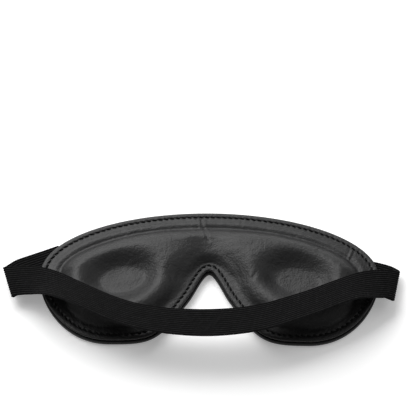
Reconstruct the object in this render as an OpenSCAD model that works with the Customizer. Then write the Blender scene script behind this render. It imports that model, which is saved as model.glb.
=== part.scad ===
// Padded leather eye mask with two cheek lobes, a nose notch, moulded eye
// hollows and a woven elastic head strap. The mask lies face down: its front
// panel rests on z = 0 and the padded back looks up. Units are millimetres.
// x runs from temple to temple, y from the cheeks to the brow, z upwards.

/* [Mask outline] */
// Overall width from temple to temple
mask_w = 215; // [205:1:225]
// Height of the brow edge above the temple line
brow_h = 47.5; // [44:0.5:50]
// Depth of the two cheek lobes below the temple line
lobe_d = 48.5; // [46:0.5:52]
// Distance of each lobe's lowest point from the centre line
lobe_x = 61.5; // [59:0.5:64]
// Height of the nose notch apex above the temple line
notch_y = 3; // [0:0.5:6]

/* [Layers] */
// Thickness of the front and back leather
leather_t = 1.2; // [1:0.1:1.4]
// Thickness of the stiff core sheet between them
core_t = 1.2; // [1.2:0.1:1.4]
// Thickness of the padded front layer, leather and wadding together
front_h = 4.2; // [3.8:0.1:4.8]

/* [Eye padding] */
// Height of the padding crest above the back leather's rim
crest_h = 8.7; // [7:0.1:9]
// Half length of an eye hollow at its upper rim
hollow_a = 25; // [23:0.5:26]
// Half height of an eye hollow at its upper rim
hollow_b = 20.5; // [18:0.5:21]
// Distance of each hollow's centre from the centre line
hollow_x = 55.5; // [54:0.5:57]
// Tilt of the hollows, rising towards the nose
hollow_tilt = 12; // [5:1:18]

/* [Strap] */
// Width of the woven elastic
strap_w = 24; // [20:1:25]
// Thickness of the woven elastic
strap_t = 1.1; // [0.8:0.1:1.1]

/* [Stitching] */
// Distance of the seam from the edge
seam_in = 3.5; // [3:0.1:4]
// Distance from one stitch to the next
stitch_pitch = 3.8; // [3.4:0.1:5]
// Thread diameter
thread_d = 0.8; // [0.6:0.1:0.9]

/* [Hidden] */

$fn = 12;
gap = 0.05;
half_w = mask_w / 2;
z_core = front_h + core_t;
z_back = z_core + leather_t;
z_crest = z_back + crest_h;
z_floor = z_back + 1;
z_strap = front_h + core_t / 2;
core_in = 0.7;
wall_out = 0.6;
seam_rise = 0.9;
thread_sink = 0.15;
stitch_share = 0.68;
crest_in = 18;
pad_gap = 0.3;
slot_gap = 0.6;
slot_len = 34;
selvedge = 1;

// ---- outline -------------------------------------------------------------

function bez(a, b, c, d, n) = [for (i = [0:n - 1]) let (t = i / n, s = 1 - t)
    a * s * s * s + b * 3 * s * s * t + c * 3 * s * t * t + d * t * t * t];

// nose notch: lower end of its straight flank, flank direction and length
flank = [19.5, -27.5];
flank_angle = 57;
flank_v = [-cos(flank_angle), sin(flank_angle)];
flank_l = 12;
flank_top = flank + flank_v * flank_l;

// reach of the curve handles at the brow, temple, lobe, flank and apex
brow_reach = 58;
temple_up = 27;
temple_down = 16;
lobe_out = 31;
lobe_back = 22;
flank_reach = 24;
apex_reach = 6;
apex_half = 4;

// right half of the edge, from the brow's middle round to the notch apex
half_edge = concat(
    bez([0, brow_h], [brow_reach, brow_h], [half_w, temple_up], [half_w, 0], 14),
    bez([half_w, 0], [half_w, -temple_down], [lobe_x + lobe_out, -lobe_d],
        [lobe_x, -lobe_d], 12),
    bez([lobe_x, -lobe_d], [lobe_x - lobe_back, -lobe_d],
        flank - flank_v * flank_reach, flank, 9),
    [flank],
    bez(flank_top, flank_top + flank_v * apex_reach, [apex_half, notch_y],
        [0, notch_y], 5),
    [[0, notch_y]]);
half_n = len(half_edge);
ring_n = 2 * half_n - 2;

function unit(v) = v / norm(v);
function turn(v) = [v[1], -v[0]];

// inward normals; the two points on the centre line keep to it
half_in = [for (i = [0:half_n - 1])
    i == 0 ? [0, -1] : i == half_n - 1 ? [0, 1] :
    unit(turn(unit(half_edge[i + 1] - half_edge[i])
            + unit(half_edge[i] - half_edge[i - 1])))];

function half_ring(d) = [for (i = [0:half_n - 1]) half_edge[i] + half_in[i] * d];
function full(h) = concat(h, [for (i = [half_n - 2:-1:1]) [-h[i][0], h[i][1]]]);
function ring(d) = full(half_ring(d));
function lift(r, z) = [for (p = r) [p[0], p[1], z]];

// ---- closed skins --------------------------------------------------------

function band_faces(a, b, n) = [for (i = [0:n - 1])
    [a + i, a + (i + 1) % n, b + (i + 1) % n, b + i]];
function flip(fs) = [for (f = fs) [for (i = [len(f) - 1:-1:0]) f[i]]];

// rings from the middle of the upper side, over the edge, to the lower middle
module skin(rings) {
    n = len(rings[0]);
    k = len(rings);
    pts = [for (r = rings) for (p = r) p];
    polyhedron(pts, concat(
        [[for (i = [0:n - 1]) i]],
        [for (j = [0:k - 2]) for (f = band_faces(j * n, (j + 1) * n, n))
            for (q = [[f[0], f[3], f[2]], [f[0], f[2], f[1]]]) q],
        [[for (i = [n - 1:-1:0]) (k - 1) * n + i]]), convexity = 6);
}

// ---- padded back surface -------------------------------------------------
// The surface has full rings from the edge to the crest. Inside the crest each
// eye gets its own closed rings, shrinking from the crest line to the hollow.

mid_n = 3;
loop_n = half_n + mid_n;
eye = [hollow_x, -5.7];

function oval(p, a, b) = let (v = p - eye, c = cos(-hollow_tilt),
    s = sin(-hollow_tilt), u = [v[0] * c + v[1] * s, -v[0] * s + v[1] * c],
    w = unit([u[0] / a, u[1] / b]), q = [w[0] * a, w[1] * b])
    eye + [q[0] * c - q[1] * s, q[0] * s + q[1] * c];

crest_half = half_ring(crest_in);
mid_line = [for (j = [1:mid_n]) crest_half[half_n - 1]
    + (crest_half[0] - crest_half[half_n - 1]) * j / (mid_n + 1)];
eye_loop = concat(crest_half, mid_line);

// the crest sinks across the bridge of the nose
bridge_sag = 0.35;
bridge_half = 14;
function sag(p, z) = z - (z - z_back) * bridge_sag * exp(-pow(p[0] / bridge_half, 2));

// outer rings: [inset, height]; eye rings: [half axes, height]
outer_top = [[0, z_back], [5, z_back], [8, z_back + 1.3], [12.5, z_back + 0.7],
             [15.5, z_back + 0.35 * crest_h], [crest_in, z_back + 0.7 * crest_h]];
eye_top = [[hollow_a + 2, hollow_b + 1.5, z_crest],
           [hollow_a - 1, hollow_b - 1, z_crest - 1.1],
           [hollow_a - 5.5, hollow_b - 5.5, z_floor + 3.6],
           [hollow_a - 10, hollow_b - 11, z_floor + 0.4]];

function pad_points(outer, eyes, drop, side) = concat(
    [for (o = outer) for (p = ring(o[0] + side))
        [p[0], p[1], sag(p, o[1]) - drop]],
    [for (p = mid_line) [p[0], p[1], sag(p, z_crest) - drop]],
    [for (m = [1, -1]) for (e = eyes) for (p = eye_loop)
        let (q = oval(p, e[0] + side, e[1] + side))
        [m * q[0], q[1], sag(q, e[2]) - drop]],
    [for (m = [1, -1]) [m * eye[0], eye[1], z_floor - drop]]);

function pad_count(ko, ke) = ko * ring_n + mid_n + 2 * ke * loop_n + 2;

// indices of one eye's crest loop on the last full ring and the middle line
function crest_loop(ko, m) = concat(
    [for (i = [0:half_n - 1])
        (ko - 1) * ring_n + (m > 0 ? i : (ring_n - i) % ring_n)],
    [for (j = [0:mid_n - 1]) ko * ring_n + j]);
function eye_row(ko, ke, m, k) = k < 0 ? crest_loop(ko, m) :
    [for (i = [0:loop_n - 1])
        ko * ring_n + mid_n + (m > 0 ? 0 : ke * loop_n) + k * loop_n + i];

function tri(a, b, c, d) = [[a, b, c], [a, c, d]];
function orient(fs, m) = m > 0 ? fs : flip(fs);

function pad_faces(ko, ke) = concat(
    [for (j = [0:ko - 2]) for (i = [0:ring_n - 1]) let (n = (i + 1) % ring_n)
        for (f = tri(j * ring_n + i, j * ring_n + n,
                     (j + 1) * ring_n + n, (j + 1) * ring_n + i)) f],
    [for (m = [1, -1]) for (k = [0:ke - 1])
        let (a = eye_row(ko, ke, m, k - 1), b = eye_row(ko, ke, m, k))
        for (i = [0:loop_n - 1]) let (n = (i + 1) % loop_n)
        for (f = orient(tri(a[i], a[n], b[n], b[i]), m)) f],
    [for (m = [1, -1]) let (a = eye_row(ko, ke, m, ke - 1),
        c = pad_count(ko, ke) - (m > 0 ? 2 : 1))
        for (i = [0:loop_n - 1]) for (f = orient([[a[i], a[(i + 1) % loop_n], c]], m)) f]);

function shift(fs, d) = [for (f = fs) [for (i = f) i + d]];

// ---- strap route ---------------------------------------------------------
// Control points of a cubic spline along the elastic's middle line, from the
// left sewn end round the left fold, over the cheeks and back to the right
// sewn end: x, y, z above the sewn ends, then yaw and tilt of the straight
// line that crosses the elastic there.

route = [
    [-84, 15, 0, -23, 0], [-93, 11, 0, -23, 0], [-102, 7, 0, -23, 0],
    [-111.5, 3, 0, -23, 0], [-119, 0, 0, -22, 0], [-124.5, -4.5, 0, -20, 0],
    [-127.5, -7.5, 1, -19, -1], [-127.5, -7.5, 3, -19, -4],
    [-123, -7.5, 3.5, -17, -6], [-117, -8, 5.5, -9, -8],
    [-109.5, -10, 8.5, 5, -10], [-101, -13.5, 12, 22, -16],
    [-91, -19, 15.5, 31, -24], [-79.5, -25.5, 17.5, 31, -27],
    [-66.5, -33, 18.5, 26, -26], [-51, -40, 19, 18, -22],
    [-35, -44, 19, 10, -20], [-17.5, -46, 19, 4, -17], [0, -46.5, 19, -1, -15],
    [18.5, -45, 19, -8, -17], [35.5, -41.5, 19, -16, -19],
    [51, -35.5, 19, -22, -21], [65.5, -29.5, 18, -26, -22],
    [79, -22.5, 17, -27, -23], [90, -17.5, 15.5, -24, -20],
    [99, -13.5, 12, -16, -12], [107, -10.5, 8.5, -3, -10],
    [114, -9, 6, 7, -11], [118.5, -9, 3.5, 13, -7], [118.5, -7.5, 1, 14, -2],
    [114, -4, 0, 16, 0], [108, -1.5, 0, 17, 0], [99.5, 0.5, 0, 17, 0],
    [91.5, 2.5, 0, 17, 0], [83, 5, 0, 17, 0]];
spans = len(route) - 3;

function spline(u) = let (i = min(floor(u), spans - 1), t = u - i)
    (route[i] * (1 - t) * (1 - t) * (1 - t)
    + route[i + 1] * (3 * t * t * t - 6 * t * t + 4)
    + route[i + 2] * (-3 * t * t * t + 3 * t * t + 3 * t + 1)
    + route[i + 3] * t * t * t) / 6;
function place(q) = [q[0], q[1], q[2] + z_strap];
function across(q) = [sin(q[3]) * cos(q[4]), cos(q[3]) * cos(q[4]), sin(q[4])];

// cross-section of the elastic along its crossing line, which may run a little
// askew near the folds, with slightly thinner selvedges; fold_square keeps the
// folded ends from growing wider than the elastic
fold_square = 0.985;
function section(u) = let (q = spline(u), c = place(q), r = across(q),
    t = unit(place(spline(min(u + 0.01, spans))) - place(spline(max(u - 0.01, 0)))),
    n = cross(r, t), w = r / max(norm(n), fold_square), a = w * strap_w / 2,
    b = w * (strap_w / 2 - selvedge), h = unit(n) * strap_t / 2)
    [c + a - h * 0.5, c + b - h, c - b - h, c - a - h * 0.5,
     c - a + h * 0.5, c - b + h, c + b + h, c + a + h * 0.5];

module strap(u0, u1, steps) {
    skin([for (k = [0:steps]) section(u0 + (u1 - u0) * k / steps)]);
}

// where the sewn ends stop and the free band begins
u_left = 3.1;
u_right = spans - 3.1;
u_gap = 0.06;

// ---- stitches ------------------------------------------------------------

seam = ring(seam_in);
seam_len = [for (i = [0:ring_n - 1]) norm(seam[(i + 1) % ring_n] - seam[i])];
function run(v, n) = n <= 0 ? 0 : v[n - 1] + run(v, n - 1);
seam_at = [for (i = [0:ring_n]) run(seam_len, i)];
seam_total = seam_at[ring_n];
stitches = round(seam_total / stitch_pitch);

function leg(s, i) = s < seam_at[i + 1] || i == ring_n - 1 ? i : leg(s, i + 1);
function on_seam(s) = let (i = leg(s, 0), a = seam[i], b = seam[(i + 1) % ring_n])
    a + (b - a) * (s - seam_at[i]) / seam_len[i];

module thread(z) {
    l = stitch_pitch * stitch_share / 2;
    for (k = [0:stitches - 1]) {
        s = (k + 0.5) * seam_total / stitches;
        a = on_seam(s - l);
        b = on_seam(s + l);
        d = b - a;
        translate([a[0], a[1], z])
            rotate([0, 90, atan2(d[1], d[0])])
                cylinder(h = norm(d), d = thread_d);
    }
}

// ---- parts ---------------------------------------------------------------

// front leather: rises at the seam and turns up round the wadding's edge;
// each entry is [inset, height of the outside above the resting surface]
front_under = [[14, 0], [8, 0.1], [seam_in, seam_rise], [0.7, 0.3], [-0.3, 0.9]];

module front_panel() {
    color([0.10, 0.10, 0.11])
    skin(concat(
        [for (f = front_under) lift(ring(f[0] + (f[0] < 1 ? leather_t : 0)),
            f[1] + leather_t)],
        [lift(ring(leather_t - wall_out), front_h), lift(ring(-wall_out), front_h),
         lift(ring(-wall_out), front_h / 2)],
        [for (k = [4:-1:0]) lift(ring(front_under[k][0]), front_under[k][1])]));
}

// wadding inside the turned-up front leather
module front_wadding() {
    color([0.75, 0.75, 0.72])
    skin(concat(
        [lift(ring(leather_t - wall_out + 0.1), front_h - gap)],
        [for (k = [4:-1:0]) let (f = front_under[k])
            lift(ring(f[0] + (f[0] < 1 ? leather_t + 0.1 : 0)),
                f[1] + leather_t + gap)]));
}

// room for one sewn strap end: out is 0 to the right and 180 to the left
module strap_slot(q, out) {
    translate([q[0], q[1]])
        rotate(out - q[3])
            translate([-slot_gap, -strap_w / 2 - slot_gap])
                square([slot_len, strap_w + 2 * slot_gap]);
}

// stiff sheet sewn into the seam, cut away where the strap ends are sewn in
module core_sheet() {
    color([0.16, 0.16, 0.17])
    translate([0, 0, front_h + gap])
    linear_extrude(core_t - 2 * gap)
    difference() {
        polygon(ring(core_in));
        strap_slot(spline(0), 180);
        strap_slot(spline(spans), 0);
    }
}

// moulded foam with two eye hollows, under the back leather
module contour_pad() {
    ko = 3;
    ke = 4;
    drop = leather_t + pad_gap;
    side = pad_gap;
    outer = [for (k = [3:5]) outer_top[k]];
    n = pad_count(ko, ke);
    base = ring(outer[0][0] + side);
    color([0.82, 0.80, 0.76])
    polyhedron(
        concat(pad_points(outer, eye_top, drop, side), lift(base, z_core + gap)),
        concat(pad_faces(ko, ke),
            [for (i = [0:ring_n - 1]) let (j = (i + 1) % ring_n)
                for (f = tri(i, n + i, n + j, j)) f],
            [[for (i = [ring_n - 1:-1:0]) n + i]]),
        convexity = 6);
}

// back leather, drawn down into the seam and into both hollows
module back_panel() {
    ko = len(outer_top);
    ke = len(eye_top);
    n = pad_count(ko, ke);
    color([0.13, 0.13, 0.14])
    polyhedron(
        concat(pad_points(outer_top, eye_top, 0, 0),
            pad_points(outer_top, eye_top, leather_t, 0)),
        concat(pad_faces(ko, ke), flip(shift(pad_faces(ko, ke), n)),
            [for (i = [0:ring_n - 1]) let (j = (i + 1) % ring_n)
                for (f = tri(i, n + i, n + j, j)) f]),
        convexity = 6);
}

// seam thread on the front side
module needle_thread() {
    color([0.05, 0.05, 0.05])
    thread(seam_rise - thread_d / 2 - thread_sink);
}

// seam thread on the padded side
module bobbin_thread() {
    color([0.05, 0.05, 0.05])
    thread(z_back + thread_d / 2 + gap);
}

// sewn-in end of the elastic at the left temple
module strap_root_left() {
    color([0.07, 0.07, 0.08])
    strap(0, u_left, 10);
}

// sewn-in end of the elastic at the right temple
module strap_root_right() {
    color([0.07, 0.07, 0.08])
    strap(u_right, spans, 10);
}

// free loop of the elastic between the two folds
module strap_band() {
    color([0.07, 0.07, 0.08])
    strap(u_left + u_gap, u_right - u_gap, 96);
}

front_panel();
front_wadding();
core_sheet();
contour_pad();
back_panel();
needle_thread();
bobbin_thread();
strap_root_left();
strap_root_right();
strap_band();
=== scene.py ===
"""Padded leather eye mask lying face down, padded back up, with its elastic strap
folded over it. Lengths are in millimetres until mesh_piece() turns them to metres."""
import math

import bpy
import numpy as np
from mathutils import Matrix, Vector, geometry
from mathutils.kdtree import KDTree


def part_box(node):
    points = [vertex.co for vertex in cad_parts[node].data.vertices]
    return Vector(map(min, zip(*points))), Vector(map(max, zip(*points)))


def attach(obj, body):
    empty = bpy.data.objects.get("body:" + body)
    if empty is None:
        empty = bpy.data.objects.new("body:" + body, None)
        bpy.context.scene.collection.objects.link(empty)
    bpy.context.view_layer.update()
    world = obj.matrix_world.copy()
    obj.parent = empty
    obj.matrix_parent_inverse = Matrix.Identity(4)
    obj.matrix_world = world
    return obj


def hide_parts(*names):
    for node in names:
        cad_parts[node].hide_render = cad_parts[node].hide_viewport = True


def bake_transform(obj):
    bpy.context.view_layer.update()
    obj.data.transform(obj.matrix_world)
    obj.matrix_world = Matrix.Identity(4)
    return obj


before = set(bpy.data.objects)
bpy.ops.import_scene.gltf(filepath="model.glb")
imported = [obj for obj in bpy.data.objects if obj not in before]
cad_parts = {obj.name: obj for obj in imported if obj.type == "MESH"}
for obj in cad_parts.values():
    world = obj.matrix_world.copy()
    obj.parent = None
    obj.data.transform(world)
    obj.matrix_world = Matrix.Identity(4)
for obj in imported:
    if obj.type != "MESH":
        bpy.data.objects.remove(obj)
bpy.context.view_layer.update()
MM = 0.001


# ---- sizes from the frame --------------------------------------------------

def node_box(node):
    """Lowest and highest corner of a CAD node, in millimetres."""
    return [np.array(corner, float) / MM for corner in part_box(node)]


BACK_LOW, BACK_HIGH = node_box("back_panel")
HALF_W, BROW_H, CREST_Z = BACK_HIGH
LOBE_D, CORE_TOP = -BACK_LOW[1], BACK_LOW[2]
FRONT_H = node_box("front_panel")[1][2]
LEATHER_T = 1.2
RIM_Z = CORE_TOP + LEATHER_T
FLOOR_Z = RIM_Z + 1.0
STRAP_Z = (FRONT_H + CORE_TOP) / 2

LOBE_X = 61.5
NOTCH_Y = 3.0
FLANK = np.array([19.5, -27.5])
FLANK_DIR = np.array([-math.cos(math.radians(57)), math.sin(math.radians(57))])
FLANK_L = 12.0
SEAM_IN = 3.5
STITCH_PITCH = 3.8
STRAP_W, STRAP_T = 24.0, 1.1
RIBS = 14

EYE = np.array([55.5, -5.7])
EYE_TILT = math.radians(12)
HOLLOW_RIM = (26.0, 21.5)
HOLLOW_FLOOR = (14.5, 9.5)

EDGE_POINTS = 560


# ---- curves ----------------------------------------------------------------

def bezier(a, b, c, d, n):
    t = np.linspace(0, 1, n, endpoint=False)[:, None]
    s = 1 - t
    a, b, c, d = (np.array(p, float) for p in (a, b, c, d))
    return a * s**3 + 3 * b * s * s * t + 3 * c * s * t * t + d * t**3


def resample(line, n):
    """n evenly spaced points along a closed line."""
    ring = np.vstack([line, line[:1]])
    at = np.concatenate([[0], np.cumsum(np.linalg.norm(np.diff(ring, axis=0), axis=1))])
    want = np.linspace(0, at[-1], n, endpoint=False)
    return np.column_stack([np.interp(want, at, ring[:, k]) for k in range(2)])


def mask_edge(n):
    """The mask's edge from the middle of the brow, clockwise as seen from above."""
    top = FLANK + FLANK_DIR * FLANK_L
    half = np.vstack([
        bezier((0, BROW_H), (58, BROW_H), (HALF_W, 27), (HALF_W, 0), 90),
        bezier((HALF_W, 0), (HALF_W, -16), (LOBE_X + 31, -LOBE_D), (LOBE_X, -LOBE_D), 80),
        bezier((LOBE_X, -LOBE_D), (LOBE_X - 22, -LOBE_D), FLANK - FLANK_DIR * 24, FLANK, 60),
        bezier(FLANK, FLANK, top, top, 12),
        bezier(top, top + FLANK_DIR * 6, (4, NOTCH_Y), (0, NOTCH_Y), 30),
        [(0, NOTCH_Y)]])
    left = half[-2:0:-1] * (-1, 1)
    return resample(np.vstack([half, left]), n)


def inward(line):
    step = np.roll(line, -1, axis=0) - np.roll(line, 1, axis=0)
    step /= np.linalg.norm(step, axis=1)[:, None]
    return np.column_stack([step[:, 1], -step[:, 0]])


EDGE = mask_edge(EDGE_POINTS)
EDGE_IN = inward(EDGE)
FINE_EDGE = mask_edge(2400)
FINE_IN = inward(FINE_EDGE)


def inset(distance):
    return EDGE + EDGE_IN * distance


def closed_length(line):
    return np.linalg.norm(np.roll(line, -1, axis=0) - line, axis=1).sum()


SEAM = resample(inset(SEAM_IN), 2400)
SEAM_LENGTH = closed_length(SEAM)
STITCHES = round(SEAM_LENGTH / STITCH_PITCH)


def nearest_on(line):
    tree = KDTree(len(line))
    for i, p in enumerate(line):
        tree.insert((p[0], p[1], 0), i)
    tree.balance()
    return lambda xy: np.array([tree.find((p[0], p[1], 0))[1] for p in xy])


nearest_edge = nearest_on(FINE_EDGE)
nearest_seam = nearest_on(SEAM)


def edge_distance(xy):
    """Distance inside the edge; negative outside."""
    i = nearest_edge(xy)
    return ((xy - FINE_EDGE[i]) * FINE_IN[i]).sum(axis=1)


def seam_phase(xy):
    """0 at a needle hole, 0.5 in the middle of a stitch."""
    return (nearest_seam(xy) / len(SEAM) * STITCHES) % 1.0


def smooth(x, low, high):
    t = np.clip((x - low) / (high - low), 0, 1)
    return t * t * (3 - 2 * t)


def bump(x, middle, width):
    return np.exp(-((x - middle) / width) ** 2)


def curve_through(table):
    """Smooth monotone curve through (x, y) pairs."""
    x, y = (np.array(v, float) for v in zip(*table))
    h, slope = np.diff(x), np.diff(y) / np.diff(x)
    m = np.zeros(len(x))
    same = slope[:-1] * slope[1:] > 0
    w1, w2 = 2 * h[1:] + h[:-1], h[1:] + 2 * h[:-1]
    with np.errstate(divide="ignore", invalid="ignore"):
        mean = (w1 + w2) / (w1 / slope[:-1] + w2 / slope[1:])
    m[1:-1] = np.where(same, mean, 0)

    def at(q):
        q = np.clip(q, x[0], x[-1])
        i = np.clip(np.searchsorted(x, q) - 1, 0, len(h) - 1)
        t = (q - x[i]) / h[i]
        return (y[i] * (1 + 2 * t) * (1 - t) ** 2 + m[i] * h[i] * t * (1 - t) ** 2
                + y[i + 1] * t * t * (3 - 2 * t) + m[i + 1] * h[i] * t * t * (t - 1))
    return at


# ---- the padded back -------------------------------------------------------
# Heights above the rim against the distance inside the edge, in three layers: the
# rim and its flange where the brow is padded, the same where it is flat, and the
# dome of the foam that starts at the end of the flange.

puffed_flange = curve_through([
    (0, -0.45), (0.3, -0.12), (0.9, 0.08), (1.9, 0.12), (2.8, 0.08), (4.3, 0.14),
    (7, 0.55), (9.2, 1.15), (10.2, 1.1), (12.6, 0.25), (15, 0.2), (60, 0.2)])
flat_flange = curve_through([
    (0, -0.45), (0.3, -0.12), (0.9, 0.08), (1.9, 0.12), (2.8, 0.08), (4.3, 0.14),
    (7, 0.3), (60, 0.35)])
foam_dome = curve_through([
    (0, 0), (12, 0), (13.2, 0.35), (14.8, 1.6), (17, 3.7), (19, 5.3), (21, 6.6),
    (23, 7.5), (25.5, 8.2), (29, 8.4), (60, 8.4)])
BRIDGE_SAG, BRIDGE_HALF = 0.35, 14.0
APEX_Y, APEX_REACH = 6.0, 15.0
FLANK_REACH = 26.0

# tension creases: from, to, depth and half width
CREASES = [
    ((-6.5, 46), (-4, 34), 0.8, 0.7), ((-4, 34), (-0.5, 22), 0.75, 0.8),
    ((91.8, 19), (89, 12), -0.6, 0.7), ((69, 19), (66.8, 14.5), -0.35, 0.8),
    ((-36, 21), (-43, 24), 0.25, 0.8), ((30, -2), (26, -10), 0.3, 1.0),
    ((-27, 0), (-23, -9), 0.25, 1.0), ((20, 45), (21, 37), 0.25, 0.7)]


def segment_distance(xy, a, b):
    a, b = np.array(a, float), np.array(b, float)
    d = b - a
    t = np.clip((xy - a) @ d / (d @ d), 0, 1)
    return np.linalg.norm(xy - a - t[:, None] * d, axis=1), t


def creased(xy):
    z = np.zeros(len(xy))
    for a, b, depth, width in CREASES:
        far, t = segment_distance(xy, a, b)
        ends = 0.35 + 0.65 * np.sin(np.pi * np.clip(t, 0.05, 0.95))
        z -= depth * bump(far, 0, width) * ends
        z += 0.45 * depth * bump(far, 2.1 * width, 1.1 * width) * ends
    return z


WAVES = np.random.default_rng(11)
WAVE_K = WAVES.normal(0, 0.22, (14, 2))
WAVE_P = WAVES.uniform(0, 2 * np.pi, 14)


def ripple(xy):
    """Slow hand-stretched unevenness, about one unit high."""
    return np.sin(xy @ WAVE_K.T + WAVE_P).sum(axis=1) / 14 ** 0.5


def oval_radius(angle, axes):
    return 1 / np.hypot(np.cos(angle) / axes[0], np.sin(angle) / axes[1])


def hollow_share(xy):
    """0 at the edge of a hollow's floor, 1 at its upper rim; and the share of the floor."""
    v = np.column_stack([np.abs(xy[:, 0]), xy[:, 1]]) - EYE
    along = v @ (math.cos(EYE_TILT), -math.sin(EYE_TILT))
    over = v @ (math.sin(EYE_TILT), math.cos(EYE_TILT))
    angle, far = np.arctan2(over, along), np.hypot(along, over)
    floor, rim = oval_radius(angle, HOLLOW_FLOOR), oval_radius(angle, HOLLOW_RIM)
    return (far - floor) / (rim - floor), far / floor


def pad_height(xy, inside, detail=True):
    """Top of the back leather; inside is each point's distance from the edge."""
    x, y = xy.T
    apex = np.exp(-(x / APEX_REACH) ** 2 - ((y - APEX_Y) / APEX_REACH) ** 2)
    puffed = smooth(y, -12, 8) * (1 - apex)
    rise = puffed_flange(inside) * puffed + flat_flange(inside) * (1 - puffed)
    beside = np.exp(-(x / FLANK_REACH) ** 2) * smooth(y, -30, -8) * (1 - smooth(y, 12, 30))
    early = np.minimum(4 * (1 - smooth(y, -22, -2)) + 6.2 * beside + 1.8 * apex, 8)
    dome = foam_dome(inside + early * smooth(inside, SEAM_IN, 6.5))
    rise += dome * (1 - BRIDGE_SAG * np.exp(-(x / BRIDGE_HALF) ** 2))
    wall, floor = hollow_share(xy)
    low = FLOOR_Z - RIM_Z + 0.3 * np.minimum(floor, 1.2) ** 2
    up = np.clip((wall + 0.12) / 1.8, 0, 1)
    rise = low + (rise - low) * (1 - (1 - up) ** 3 * (1 + 3 * up))
    rise += 0.13 * ripple(xy) * smooth(inside, 4.5, 9)
    if detail:
        rise += creased(xy) * smooth(inside, 4, 6)
        phase = seam_phase(xy)
        pull = 0.3 + 0.2 * np.cos(2 * np.pi * phase)
        rise -= pull * bump(inside, SEAM_IN, 0.5)
        rise += 0.07 * np.cos(2 * np.pi * phase) * bump(inside, SEAM_IN - 1.4, 0.6)
    return RIM_Z + rise


# ---- meshes ----------------------------------------------------------------

def mesh_piece(name, points, faces, material, uv=None):
    mesh = bpy.data.meshes.new(name)
    mesh.from_pydata((np.asarray(points, float) * MM).tolist(), [], faces)
    mesh.polygons.foreach_set("use_smooth", [True] * len(mesh.polygons))
    if uv is not None:
        layer = mesh.uv_layers.new(name="UVMap")
        corner = np.zeros(len(mesh.loops), dtype=np.int32)
        mesh.loops.foreach_get("vertex_index", corner)
        layer.data.foreach_set("uv", np.asarray(uv, float)[corner].ravel())
    mesh.materials.append(material)
    mesh.update()
    piece = bpy.data.objects.new(name, mesh)
    bpy.context.scene.collection.objects.link(piece)
    return piece


def bridge(a, b, n):
    """Quads between two closed rings of n points that start at a and b."""
    return [(a + i, a + (i + 1) % n, b + (i + 1) % n, b + i) for i in range(n)]


def filled(rings, spacing, keep_in):
    """Triangles over the mask: its rings, then an even field of points inside them.
    Returns the points and the faces, all facing up; the first ring comes first."""
    x = np.arange(-HALF_W, HALF_W, spacing)
    y = np.arange(-LOBE_D, BROW_H, spacing * 0.866)
    gx, gy = np.meshgrid(x, y)
    gx = gx + (np.arange(len(y)) % 2)[:, None] * spacing / 2
    field = np.column_stack([gx.ravel(), gy.ravel()])
    field = field[edge_distance(field) > keep_in]
    points = np.vstack([inset(d) for d in rings] + [field])
    n = len(EDGE)
    loop = [(i, (i + 1) % n) for i in range(n)]
    out = geometry.delaunay_2d_cdt([tuple(p) for p in points], loop, [], 1, 1e-5)
    points = np.array([tuple(p) for p in out[0]])
    source = [min(s) if s else -1 for s in out[3]]
    order = np.argsort([s if s >= 0 else len(points) for s in source], kind="stable")
    place = np.empty(len(order), dtype=int)
    place[order] = np.arange(len(order))
    faces = []
    for face in out[2]:
        a, b, c = (points[i] for i in face)
        up = (b[0] - a[0]) * (c[1] - a[1]) - (b[1] - a[1]) * (c[0] - a[0])
        ids = [int(place[i]) for i in face]
        faces.append(ids if up > 0 else ids[::-1])
    return points[order], faces


def ring_points(distance, z):
    line = inset(distance)
    return np.column_stack([line, np.full(len(line), z)])


# ---- materials -------------------------------------------------------------

def new_material(name, color, roughness, **sockets):
    material = bpy.data.materials.new(name)
    material.use_nodes = True
    shader = material.node_tree.nodes["Principled BSDF"]
    shader.inputs["Base Color"].default_value = (*color, 1)
    shader.inputs["Roughness"].default_value = roughness
    for socket, value in sockets.items():
        shader.inputs[socket.replace("_", " ")].default_value = value
    return material, material.node_tree, shader


def add_node(tree, kind, inputs=None, **settings):
    node = tree.nodes.new(kind)
    for key, value in settings.items():
        setattr(node, key, value)
    for key, value in (inputs or {}).items():
        if isinstance(value, bpy.types.NodeSocket):
            tree.links.new(value, node.inputs[key])
        else:
            node.inputs[key].default_value = value
    return node


def ramp(tree, value, low, high):
    """Maps 0..1 to low..high, colours or numbers."""
    node = add_node(tree, "ShaderNodeValToRGB", {"Fac": value})
    for element, level in zip(node.color_ramp.elements, (low, high)):
        level = (level,) * 3 if isinstance(level, float) else level
        element.color = (*level, 1)
    return node.outputs["Color"]


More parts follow.
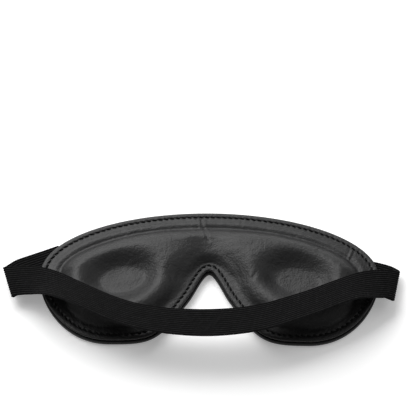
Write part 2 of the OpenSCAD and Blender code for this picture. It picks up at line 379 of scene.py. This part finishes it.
def leather(name, dark, light, roughness, gloss, grain):
    """Fine-grained black leather: cells of grain, faint mottling, soft gloss."""
    material, tree, shader = new_material(name, dark, roughness[0], Specular_IOR_Level=gloss)
    where = add_node(tree, "ShaderNodeTexCoord").outputs["Object"]
    mottle = add_node(tree, "ShaderNodeTexNoise",
                      {"Vector": where, "Scale": 70, "Detail": 5, "Roughness": 0.6})
    pull = add_node(tree, "ShaderNodeTexNoise", {"Vector": where, "Scale": 330, "Detail": 2})
    cells = add_node(tree, "ShaderNodeTexVoronoi", {"Vector": where, "Scale": 1100},
                     feature="SMOOTH_F1")
    pores = add_node(tree, "ShaderNodeTexNoise", {"Vector": where, "Scale": 2600, "Detail": 3})
    tree.links.new(ramp(tree, mottle.outputs["Fac"], dark, light), shader.inputs["Base Color"])
    tree.links.new(ramp(tree, mottle.outputs["Fac"], roughness[1], roughness[0]),
                   shader.inputs["Roughness"])
    slow = add_node(tree, "ShaderNodeBump", {"Strength": grain, "Distance": 0.0005,
                                             "Height": pull.outputs["Fac"]})
    fine = add_node(tree, "ShaderNodeBump",
                    {"Strength": grain * 0.5, "Distance": 0.00012,
                     "Height": pores.outputs["Fac"], "Normal": slow.outputs["Normal"]})
    coarse = add_node(tree, "ShaderNodeBump",
                      {"Strength": grain, "Distance": 0.00025,
                       "Height": cells.outputs["Distance"], "Normal": fine.outputs["Normal"]})
    tree.links.new(coarse.outputs["Normal"], shader.inputs["Normal"])
    return material


def elastic():
    """Black elastic weave: its rib shape is in the mesh, the slanted weft is a bump. Its colour
    carries painted shade, darker in the rib grooves and in the gaps of the slanted weft, over a
    random yarn tone.
    """
    material, tree, shader = new_material("elastic_weave", (0.008, 0.008, 0.0085), 0.8,
                                          Specular_IOR_Level=0.05)
    uv = add_node(tree, "ShaderNodeTexCoord").outputs["UV"]
    slant = add_node(tree, "ShaderNodeMapping", {"Vector": uv, "Rotation": (0, 0, -0.42)})
    # painted shade: the dark mortar lines are shade painted into the gaps of the slanted weft
    weft_with_gap_shade = add_node(tree, "ShaderNodeTexBrick",
                     {"Vector": slant.outputs["Vector"], "Color1": (1, 1, 1, 1),
                      "Color2": (0.3, 0.3, 0.3, 1), "Mortar": (0, 0, 0, 1), "Scale": 1.0,
                      "Mortar Size": 0.2, "Mortar Smooth": 1.0, "Brick Width": 3.4,
                      "Row Height": 1.25})
    warp = add_node(tree, "ShaderNodeTexNoise", {"Vector": uv, "Scale": 0.9, "Detail": 4})
    across = add_node(tree, "ShaderNodeSeparateXYZ", {"Vector": uv}).outputs["Y"]
    turns = add_node(tree, "ShaderNodeMath",
                     {0: across, 1: 2 * math.pi * RIBS / STRAP_W}, operation="MULTIPLY")
    gaps = add_node(tree, "ShaderNodeMath", {0: turns.outputs[0]}, operation="COSINE")
    # painted shade: the colour goes dark in the rib grooves, where shade falls
    rib_groove_shade = add_node(tree, "ShaderNodeMapRange",
                    {"Value": gaps.outputs[0], "From Min": -0.9, "From Max": 1.0})
    yarn_tone_and_gap_shade = add_node(tree, "ShaderNodeMix", {"Factor": 0.5, "A": weft_with_gap_shade.outputs["Color"],
                                               "B": warp.outputs["Color"]}, data_type="RGBA")
    weave_and_groove_shade = add_node(tree, "ShaderNodeMath",
                     {0: yarn_tone_and_gap_shade.outputs["Result"], 1: rib_groove_shade.outputs["Result"]},
                     operation="MULTIPLY")
    # painted shade in the colour: darkest in the rib grooves and weft gaps, over a random yarn
    # tone
    shade = ramp(tree, weave_and_groove_shade.outputs[0], (0.0005, 0.0005, 0.0006), (0.025, 0.025, 0.0255))
    tree.links.new(shade, shader.inputs["Base Color"])
    weft = add_node(tree, "ShaderNodeBump", {"Strength": 0.8, "Distance": 0.0004,
                                             "Height": weave_and_groove_shade.outputs[0]})
    hair = add_node(tree, "ShaderNodeBump", {"Strength": 0.3, "Distance": 0.0001,
                                             "Height": warp.outputs["Fac"],
                                             "Normal": weft.outputs["Normal"]})
    tree.links.new(hair.outputs["Normal"], shader.inputs["Normal"])
    return material


def fibrous(name, dark, light, scale, roughness=0.85):
    """Matte felt, wadding, foam or thread: a two-tone noise with a matching bump."""
    material, tree, shader = new_material(name, dark, roughness)
    where = add_node(tree, "ShaderNodeTexCoord").outputs["Object"]
    noise = add_node(tree, "ShaderNodeTexNoise",
                     {"Vector": where, "Scale": scale, "Detail": 6, "Roughness": 0.7})
    tree.links.new(ramp(tree, noise.outputs["Fac"], dark, light), shader.inputs["Base Color"])
    fuzz = add_node(tree, "ShaderNodeBump", {"Strength": 0.5, "Distance": 0.0002,
                                             "Height": noise.outputs["Fac"]})
    tree.links.new(fuzz.outputs["Normal"], shader.inputs["Normal"])
    return material


BACK_LEATHER = leather("back_leather_nappa", (0.005, 0.005, 0.0052), (0.01, 0.01, 0.0103),
                       (0.42, 0.52), 0.38, 0.6)
FRONT_LEATHER = leather("front_leather_satin", (0.005, 0.005, 0.0052), (0.009, 0.009, 0.0093),
                        (0.45, 0.55), 0.2, 0.4)
ELASTIC = elastic()
THREAD = fibrous("waxed_thread", (0.002, 0.002, 0.0022), (0.007, 0.007, 0.0075), 2400, 0.8)
THREAD.node_tree.nodes["Principled BSDF"].inputs["Specular IOR Level"].default_value = 0.15
FELT = fibrous("core_felt", (0.006, 0.006, 0.0065), (0.02, 0.02, 0.021), 900)
WADDING = fibrous("white_wadding", (0.62, 0.62, 0.6), (0.8, 0.8, 0.78), 500)
FOAM = fibrous("open_cell_foam", (0.66, 0.64, 0.58), (0.84, 0.82, 0.77), 1200)


# ---- leather panels and foam ----------------------------------------------

SKIN_GRID = 3.4
SKIN_CAP = 0.6
SKIN_SINK = 0.1


def loose_skin():
    """Cloth pass on a coarse copy of the back leather, held at its seam and pressed up
    by an even pressure that stands in for the foam. Returns its points and how far each one rises."""
    ring = resample(inset(SEAM_IN), 200)
    x, y = np.meshgrid(np.arange(-HALF_W, HALF_W, SKIN_GRID),
                       np.arange(-LOBE_D, BROW_H, SKIN_GRID * 0.866))
    x = x + (np.arange(len(y)) % 2)[:, None] * SKIN_GRID / 2
    field = np.column_stack([x.ravel(), y.ravel()])
    field = field[edge_distance(field) > SEAM_IN + 2]
    loop = [(i, (i + 1) % len(ring)) for i in range(len(ring))]
    out = geometry.delaunay_2d_cdt([tuple(p) for p in np.vstack([ring, field])], loop, [],
                                   1, 1e-5)
    xy = np.array([tuple(p) for p in out[0]])
    inside = edge_distance(xy)
    flat = np.column_stack([xy, pad_height(xy, inside, False)])
    faces = []
    for f in out[2]:
        side, other = xy[f[1]] - xy[f[0]], xy[f[2]] - xy[f[0]]
        faces.append(f if side[0] * other[1] > side[1] * other[0] else f[::-1])
    skin = mesh_piece("loose_skin", flat, faces, BACK_LEATHER)
    held = skin.vertex_groups.new(name="seam")
    held.add([int(i) for i in np.flatnonzero(inside < SEAM_IN + 0.5)], 1.0, "REPLACE")
    cloth = skin.modifiers.new("cloth", "CLOTH")
    cloth.settings.vertex_group_mass = "seam"
    cloth.settings.quality = 8
    cloth.settings.mass = 0.3
    cloth.settings.bending_stiffness = 4
    cloth.settings.tension_stiffness = 40
    cloth.settings.air_damping = 8
    cloth.settings.use_pressure = True
    cloth.settings.uniform_pressure_force = 4
    cloth.settings.effector_weights.gravity = 0
    for frame_number in range(1, 21):
        bpy.context.scene.frame_set(frame_number)
    shaped = skin.evaluated_get(bpy.context.evaluated_depsgraph_get()).data
    after = np.array([v.co[2] for v in shaped.vertices]) / MM
    bpy.data.objects.remove(skin, do_unlink=True)
    bpy.context.scene.frame_set(1)
    moved = after - flat[:, 2]
    return xy, np.maximum(SKIN_CAP * np.tanh(moved / SKIN_CAP / 2), -SKIN_SINK)


def skin_rise(xy):
    """The cloth pass spread smoothly over the points of the fine mesh."""
    at, rise = loose_skin()
    tree = KDTree(len(at))
    for i, p in enumerate(at):
        tree.insert((p[0], p[1], 0), i)
    tree.balance()
    spread = np.zeros(len(xy))
    for k, p in enumerate(xy):
        near = tree.find_n((p[0], p[1], 0), 7)
        weight = np.exp([-(n[2] / SKIN_GRID) ** 2 for n in near])
        spread[k] = weight @ rise[[n[1] for n in near]] / weight.sum()
    return spread


BACK_RINGS = [0, 0.25, 0.6, 1, 1.5, 2, 2.5, 2.9, 3.2, 3.5, 3.8, 4.1, 4.5, 5, 5.6, 6.3, 7.1,
              8, 9, 10, 11, 11.8, 12.5, 13.2, 14]


def back_panel():
    """Back leather: its shaped top, its cut edge and a strip turned under the rim."""
    xy, faces = filled(BACK_RINGS, 1.15, 14.6)
    inside = edge_distance(xy)
    z = pad_height(xy, inside)
    z += skin_rise(xy) * smooth(inside, 4.5, 9)
    top = np.column_stack([xy, z])
    under = [(-0.05, RIM_Z - 0.75), (0.05, CORE_TOP + 0.15), (0.4, CORE_TOP), (6, CORE_TOP)]
    points = np.vstack([top] + [ring_points(d, z) for d, z in under])
    start, n = 0, len(EDGE)
    for k in range(len(under)):
        below = len(top) + k * n
        faces += bridge(start, below, n)
        start = below
    return mesh_piece("back_leather", points, faces, BACK_LEATHER)


def contour_foam():
    """Moulded foam under the back leather, closed by a flat base."""
    xy, faces = filled([0, 2, 5, 9, 11, 12.5, 14], 2.4, 15.5)
    inside = edge_distance(xy)
    keep = inside >= 13.8
    index = np.cumsum(keep) - 1
    faces = [[int(index[i]) for i in f] for f in faces if keep[list(f)].all()]
    xy, inside = xy[keep], inside[keep]
    top = np.column_stack([xy, pad_height(xy, inside, False) - LEATHER_T - 0.25])
    top[:, 2] = np.maximum(top[:, 2], CORE_TOP + 0.3)
    base = np.column_stack([xy, np.full(len(xy), CORE_TOP + 0.1)])
    n = len(top)
    edges = {}
    for f in faces:
        for a, b in zip(f, f[1:] + f[:1]):
            edges[(a, b)] = True
    rim = [(a, b) for a, b in edges if (b, a) not in edges]
    closed = (faces + [[i + n for i in reversed(f)] for f in faces]
              + [[b, a, a + n, b + n] for a, b in rim])
    return mesh_piece("contour_foam", np.vstack([top, base]), closed, FOAM)


# outside of the front leather: height against the distance inside the edge
front_profile = curve_through([
    (-0.6, 1.6), (-0.3, 0.85), (0.3, 0.42), (1.2, 0.3), (2.4, 0.5), (3.5, 0.9),
    (4.6, 0.55), (6.5, 0.15), (9, 0.03), (13, 0), (60, 0)])
FRONT_RINGS = [-0.6, -0.5, -0.3, 0, 0.3, 0.7, 1.2, 1.8, 2.4, 2.9, 3.2, 3.5, 3.8, 4.2, 4.8, 5.6,
               6.6, 8, 9.5, 11, 13]


def front_panel():
    """Front leather lying on the floor, turned up round the edge of its wadding."""
    xy, faces = filled(FRONT_RINGS, 2.4, 14.5)
    inside = edge_distance(xy)
    z = front_profile(inside) + 0.02 * np.abs(ripple(xy)) * smooth(inside, 5, 9)
    z += (0.12 + 0.1 * np.cos(2 * np.pi * seam_phase(xy))) * bump(inside, SEAM_IN, 0.7)
    bottom = np.column_stack([xy, z])
    faces = [list(reversed(f)) for f in faces]
    wall = [(-0.68, 2.1), (-0.7, 2.8), (-0.66, 3.5), (-0.5, FRONT_H - 0.2), (-0.2, FRONT_H),
            (0.5, FRONT_H), (0.6, 2)]
    points = np.vstack([bottom] + [ring_points(d, h) for d, h in wall])
    start, n = 0, len(EDGE)
    for k in range(len(wall)):
        above = len(bottom) + k * n
        faces += [list(reversed(f)) for f in bridge(start, above, n)]
        start = above
    return mesh_piece("front_leather", points, faces, FRONT_LEATHER)


# ---- stitches --------------------------------------------------------------

def on_seam(share):
    """Point on the seam and its inward normal; share runs from 0 to 1 round it."""
    at = (share % 1) * len(SEAM)
    i = int(at) % len(SEAM)
    j = (i + 1) % len(SEAM)
    ahead = SEAM[j] - SEAM[i]
    ahead = ahead / np.linalg.norm(ahead)
    return SEAM[i] + (SEAM[j] - SEAM[i]) * (at - int(at)), np.array([ahead[1], -ahead[0]])


def stitch_row(name, z, up):
    """Two-ply stitches, each a little across the seam and sinking into its holes."""
    sides, steps, radius, reach = 10, 14, 0.52, 0.37
    points, faces = [], []
    for k in range(STITCHES):
        for j in range(steps + 1):
            t = j / steps * 2 - 1
            middle, across = on_seam((k + 0.5 + t * reach) / STITCHES)
            middle = middle + across * 0.42 * t
            height = z + up * (0.5 * (1 - t * t) - 0.25)
            girth = radius * (1 - 0.45 * t ** 4)
            for s in range(sides):
                a = 2 * math.pi * s / sides
                ply = girth * (1 + 0.2 * math.cos(2 * a - 7.5 * t))
                flat = middle + across * ply * math.cos(a)
                points.append((flat[0], flat[1], height + ply * math.sin(a)))
        first = k * (steps + 1) * sides
        for j in range(steps):
            faces += bridge(first + j * sides, first + (j + 1) * sides, sides)
        last = first + steps * sides
        faces.append(tuple(first + s for s in reversed(range(sides))))
        faces.append(tuple(last + s for s in range(sides)))
    return mesh_piece(name, points, faces, THREAD)


# ---- the elastic strap -----------------------------------------------------

FOLD_LEFT = 3.1

# a crossing line that slants is lengthened to 1 / FOLD_SQUARE at most, so folds don't flare
FOLD_SQUARE = 0.985

# control points: x, y, z above the sewn ends, then yaw and tilt of the straight line
# that crosses the elastic there
ROUTE = np.array([
    (-84, 15, 0, -23, 0), (-93, 11, 0, -23, 0), (-102, 7, 0, -23, 0),
    (-111.5, 3, 0, -23, 0), (-119, 0, 0, -22, 0), (-124.5, -4.5, 0, -20, 0),
    (-127.5, -7.5, 1, -19, -1), (-127.5, -7.5, 3, -19, -4),
    (-123, -7.5, 3.5, -17, -6), (-117, -8, 5.5, -9, -8),
    (-109.5, -10, 8.5, 5, -10), (-101, -13.5, 12, 22, -16),
    (-91, -19, 15.5, 31, -24), (-79.5, -25.5, 17.5, 31, -27),
    (-66.5, -33, 18.5, 26, -26), (-51, -40, 19, 18, -22),
    (-35, -44, 19, 10, -20), (-17.5, -46, 19, 4, -17), (0, -46.5, 19, -1, -15),
    (18.5, -45, 19, -8, -17), (35.5, -41.5, 19, -16, -19),
    (51, -35.5, 19, -22, -21), (65.5, -29.5, 18, -26, -22),
    (79, -22.5, 17, -27, -23), (90, -17.5, 15.5, -24, -20),
    (99, -13.5, 12, -16, -12), (107, -10.5, 8.5, -3, -10),
    (114, -9, 6, 7, -11), (118.5, -9, 3.5, 13, -7), (118.5, -7.5, 1, 14, -2),
    (114, -4, 0, 16, 0), (108, -1.5, 0, 17, 0), (99.5, 0.5, 0, 17, 0),
    (91.5, 2.5, 0, 17, 0), (83, 5, 0, 17, 0)], float)
SPANS = len(ROUTE) - 3
FOLD_RIGHT = SPANS - FOLD_LEFT


def route_at(u):
    """Middle of the strap, the vector to one edge along its crossing line, its normal."""
    def spline(v):
        i = min(int(v), SPANS - 1)
        t = v - i
        weights = ((1 - t) ** 3, 3 * t**3 - 6 * t * t + 4, -3 * t**3 + 3 * t * t + 3 * t + 1, t**3)
        return sum(w * p for w, p in zip(weights, ROUTE[i:i + 4])) / 6
    q = spline(u)
    along = spline(min(u + 0.01, SPANS))[:3] - spline(max(u - 0.01, 0))[:3]
    along /= np.linalg.norm(along)
    yaw, tilt = np.radians(q[3:])
    line = np.array([math.sin(yaw) * math.cos(tilt), math.cos(yaw) * math.cos(tilt),
                     math.sin(tilt)])
    through = np.cross(line, along)
    square = np.linalg.norm(through)
    return q[:3] + (0, 0, STRAP_Z), line / max(square, FOLD_SQUARE), through / square


def strap_section():
    """Across and through positions round the ribbed section, starting at one selvedge."""
    v = np.linspace(1, -1, RIBS * 5 + 1)
    edge = np.sqrt(np.clip(1 - ((np.abs(v) - 0.965) / 0.035).clip(0) ** 2, 0.02, 1))
    rib = 0.5 + 0.5 * np.cos(2 * np.pi * RIBS * (v + 1) / 2)
    half = (STRAP_T / 2 - 0.3 * rib) * edge
    side = np.column_stack([v * STRAP_W / 2, half])
    return np.vstack([side, side[::-1] * (1, -1)])


SECTION = strap_section()


def strap_length(u0, u1, n=200):
    line = np.array([route_at(u)[0] for u in np.linspace(u0, u1, n)])
    return np.linalg.norm(np.diff(line, axis=0), axis=1).sum()


def strap_piece(name, u0, u1, pitch=1.1):
    """A closed length of ribbed elastic; its UVs are millimetres along and across."""
    at = strap_length(0, u0) if u0 > 0 else 0
    steps = max(8, round(strap_length(u0, u1) / pitch))
    points, uv, before = [], [], route_at(u0)[0]
    for u in np.linspace(u0, u1, steps + 1):
        middle, width, through = route_at(u)
        at += np.linalg.norm(middle - before)
        before = middle
        points.append(middle + SECTION[:, :1] * width + SECTION[:, 1:] * through)
        uv += [(at, a) for a in SECTION[:, 0]]
    n = len(SECTION)
    faces = []
    for k in range(steps):
        faces += bridge(k * n, (k + 1) * n, n)
    faces.append(tuple(reversed(range(n))))
    faces.append(tuple(steps * n + i for i in range(n)))
    return mesh_piece(name, np.vstack(points), faces, ELASTIC, uv)


# ---- assembly --------------------------------------------------------------

def place(piece, node, slot, body="mask"):
    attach(piece, body)
    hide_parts(node)
    return piece


lining = place(back_panel(), "back_panel", "back_leather")
foam = place(contour_foam(), "contour_pad", "foam")
place(front_panel(), "front_panel", "front_leather")
place(stitch_row("back_stitches", RIM_Z + 0.12, 1), "bobbin_thread", "thread")
place(stitch_row("front_stitches", 0.72, -1), "needle_thread", "thread")

band = place(strap_piece("strap_loop", FOLD_LEFT, FOLD_RIGHT), "strap_band", "elastic", "strap")
for side, ends, rim, fold in (("left", (0, FOLD_LEFT), 1.7, 2.7),
                              ("right", (FOLD_RIGHT, SPANS), SPANS - 2.0, SPANS - 2.75)):
    root = strap_piece("strap_end_" + side, *ends)
    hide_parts("strap_root_" + side)
    route_at(rim)[0] * MM
    route_at(fold)[0] * MM
    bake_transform(root)

for node, material in (("front_wadding", WADDING), ("core_sheet", FELT)):
    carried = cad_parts[node]
    carried.data.materials.clear()
    carried.data.materials.append(material)


# ---- floor, light and camera ----------------------------------------------

# the floor gives off a little light, as the bright surroundings in the photo do
FLOOR_GLOW = 0.26


def floor():
    material, tree, shader = new_material("studio_floor", (0.93, 0.93, 0.93), 0.6)
    where = add_node(tree, "ShaderNodeTexCoord").outputs["Object"]
    noise = add_node(tree, "ShaderNodeTexNoise", {"Vector": where, "Scale": 3, "Detail": 2})
    tree.links.new(ramp(tree, noise.outputs["Fac"], (0.92, 0.92, 0.92), (0.94, 0.94, 0.94)),
                   shader.inputs["Base Color"])
    shader.inputs["Emission Color"].default_value = (1, 1, 1, 1)
    shader.inputs["Emission Strength"].default_value = FLOOR_GLOW
    mesh = bpy.data.meshes.new("studio_floor")
    half = 4.0
    mesh.from_pydata([(-half, -half, 0), (half, -half, 0), (half, half, 0), (-half, half, 0)],
                     [], [(0, 1, 2, 3)])
    mesh.materials.append(material)
    ground = bpy.data.objects.new("studio_floor", mesh)
    bpy.context.scene.collection.objects.link(ground)


def softbox(name, azimuth, elevation, distance, size, radiance):
    """Rectangular light aimed at the mask. Azimuth 0 is behind it, 90 to its right."""
    light = bpy.data.lights.new(name, "AREA")
    light.shape = "RECTANGLE"
    light.size, light.size_y = size
    light.energy = radiance * math.pi * size[0] * size[1]
    lamp = bpy.data.objects.new(name, light)
    a, e = math.radians(azimuth), math.radians(elevation)
    lamp.location = (distance * math.cos(e) * math.sin(a), distance * math.cos(e) * math.cos(a),
                     distance * math.sin(e))
    lamp.rotation_euler = (math.pi / 2 - e, 0, math.pi - a)
    bpy.context.scene.collection.objects.link(lamp)


def lighting():
    world = bpy.data.worlds.new("studio")
    world.use_nodes = True
    background = world.node_tree.nodes["Background"]
    background.inputs["Color"].default_value = (1, 1, 1, 1)
    background.inputs["Strength"].default_value = 0.16
    bpy.context.scene.world = world
    softbox("key_behind_left", -27, 49, 1.4, (1.4, 0.95), 4.4)
    softbox("side_left", -72, 50, 1.3, (0.9, 0.9), 1.7)
    softbox("side_right", 74, 48, 1.3, (0.9, 0.8), 1.0)
    softbox("backdrop_glow", -8, 17, 1.6, (2.4, 0.6), 1.8)
    bpy.context.scene.view_settings.view_transform = "Standard"


def camera():
    data = bpy.data.cameras.new("camera")
    data.lens, data.sensor_width = 122.7, 36
    data.clip_start, data.clip_end = 0.05, 20
    eye = bpy.data.objects.new("camera", data)
    eye.location = (0.0039, -0.4907, 0.7626)
    eye.rotation_euler = (math.radians(90 - 54.35), 0, math.radians(0.55))
    bpy.context.scene.collection.objects.link(eye)
    bpy.context.scene.camera = eye


floor()
lighting()
camera()
